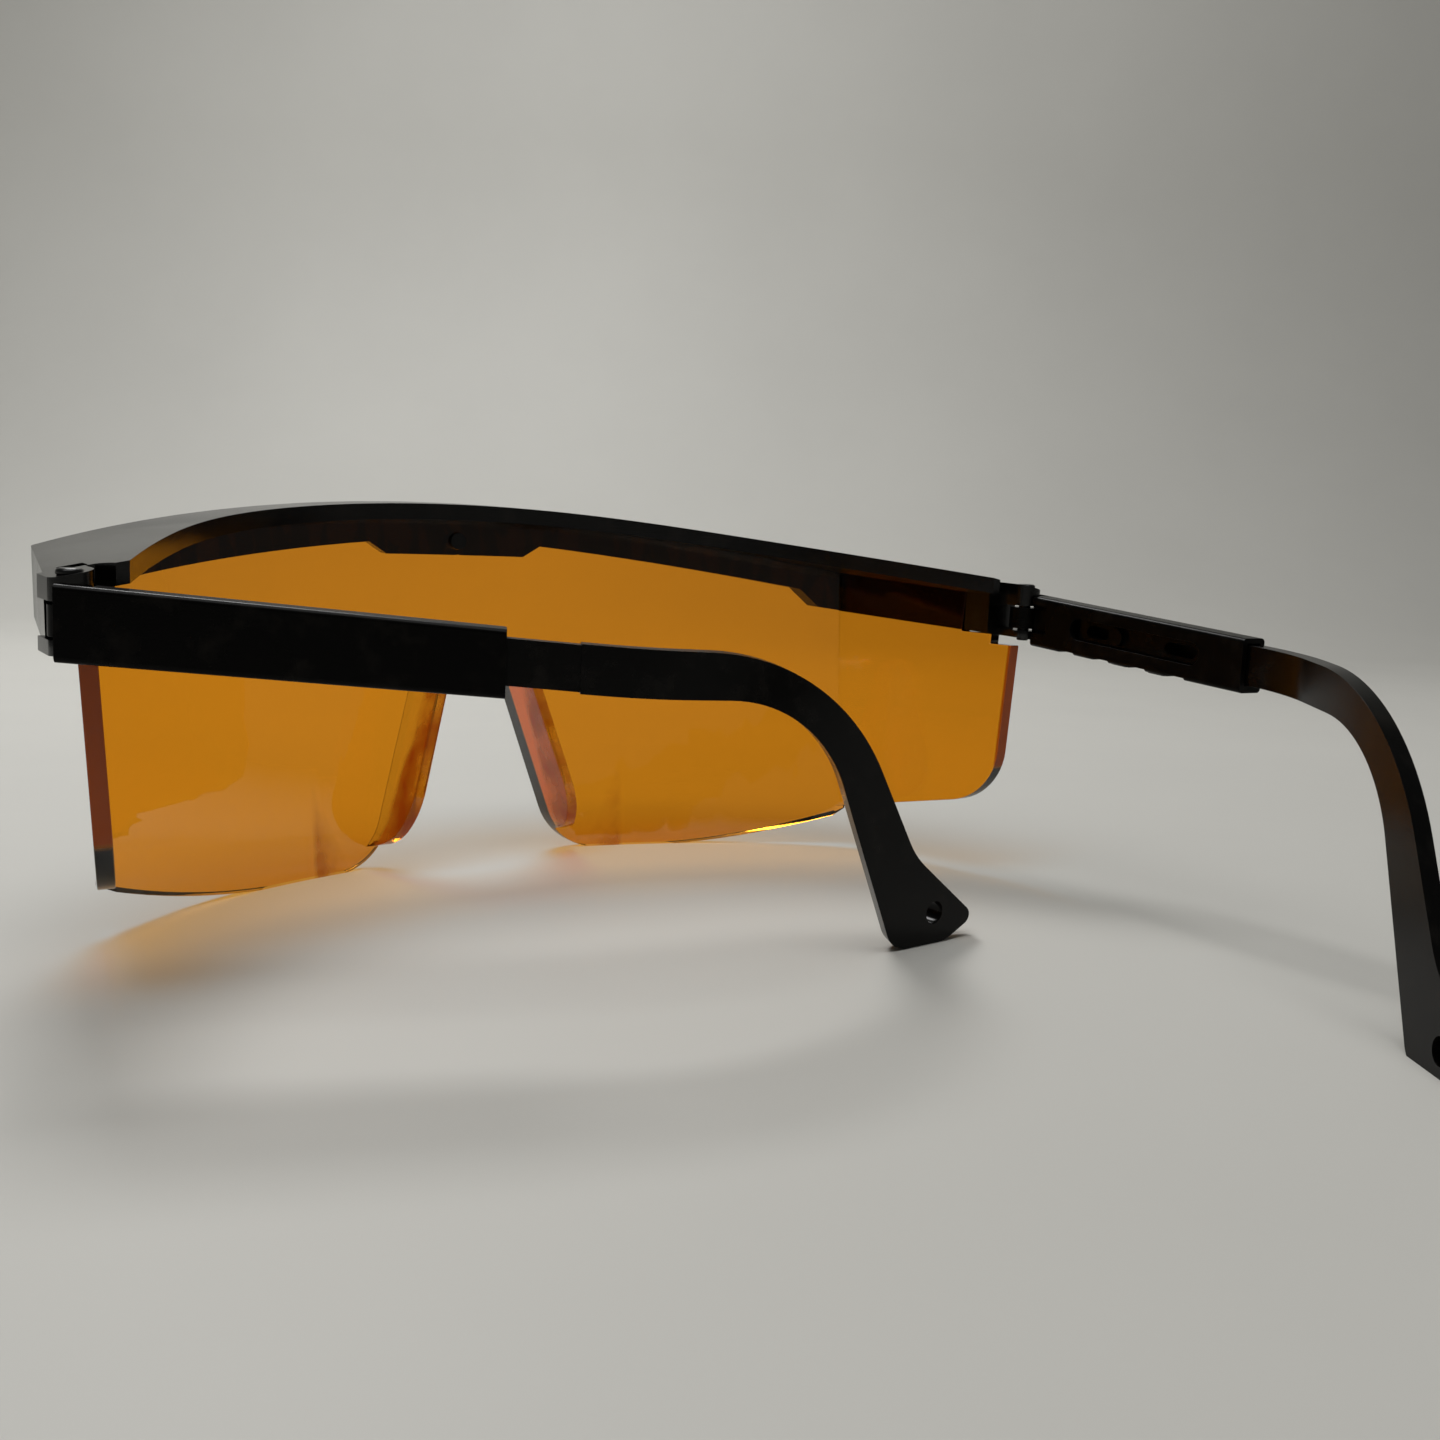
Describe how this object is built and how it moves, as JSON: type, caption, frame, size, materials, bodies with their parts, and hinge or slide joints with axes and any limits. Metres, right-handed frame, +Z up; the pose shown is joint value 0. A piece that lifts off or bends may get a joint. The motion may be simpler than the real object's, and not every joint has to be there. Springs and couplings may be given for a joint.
{
  "type": "safety glasses",
  "caption": "Wraparound safety glasses with an amber lens and side shields, a black brow frame, and folding temples whose ear pieces slide to length.",
  "frame": {"origin": "top of the nose arch, half-way back along its flange, where the bridge of the nose bears", "axes": "+X to the wearer's left, -Y the way the wearer looks, +Z up along the hinge pins"},
  "size_m": [0.1458, 0.157, 0.056],
  "materials": {
    "lens": "clear amber, polished",
    "frame_black": "gloss black",
    "temple_black": "gloss black",
    "pin_black": "satin black"
  },
  "bodies": {
    "front": {"lens": "lens", "brow_frame": "frame_black", "hinge_pin_left": "pin_black", "hinge_pin_right": "pin_black"},
    "left_sleeve": {"temple_sleeve_left": "temple_black"},
    "left_arm": {"temple_arm_left": "temple_black"},
    "right_sleeve": {"temple_sleeve_right": "temple_black"},
    "right_arm": {"temple_arm_right": "temple_black"}
  },
  "joints": [
    {"name": "left_temple_fold", "type": "hinge", "parent": "front", "child": "left_sleeve", "pos_m": [0.07, 0.05108, 0.0095], "axis": [0, 0, 1], "range_deg": [-63, 25]},
    {"name": "left_arm_slide", "type": "slide", "parent": "left_sleeve", "child": "left_arm", "axis": [-0.8894, 0.4532, -0.06], "range_m": [-0.0072, 0.0072]},
    {"name": "right_temple_fold", "type": "hinge", "parent": "front", "child": "right_sleeve", "pos_m": [-0.07, 0.05108, 0.0095], "axis": [0, 0, -1], "range_deg": [-6, 50]},
    {"name": "right_arm_slide", "type": "slide", "parent": "right_sleeve", "child": "right_arm", "axis": [0.1043, 0.9927, -0.06], "range_m": [0, 0.0144]}
  ]
}
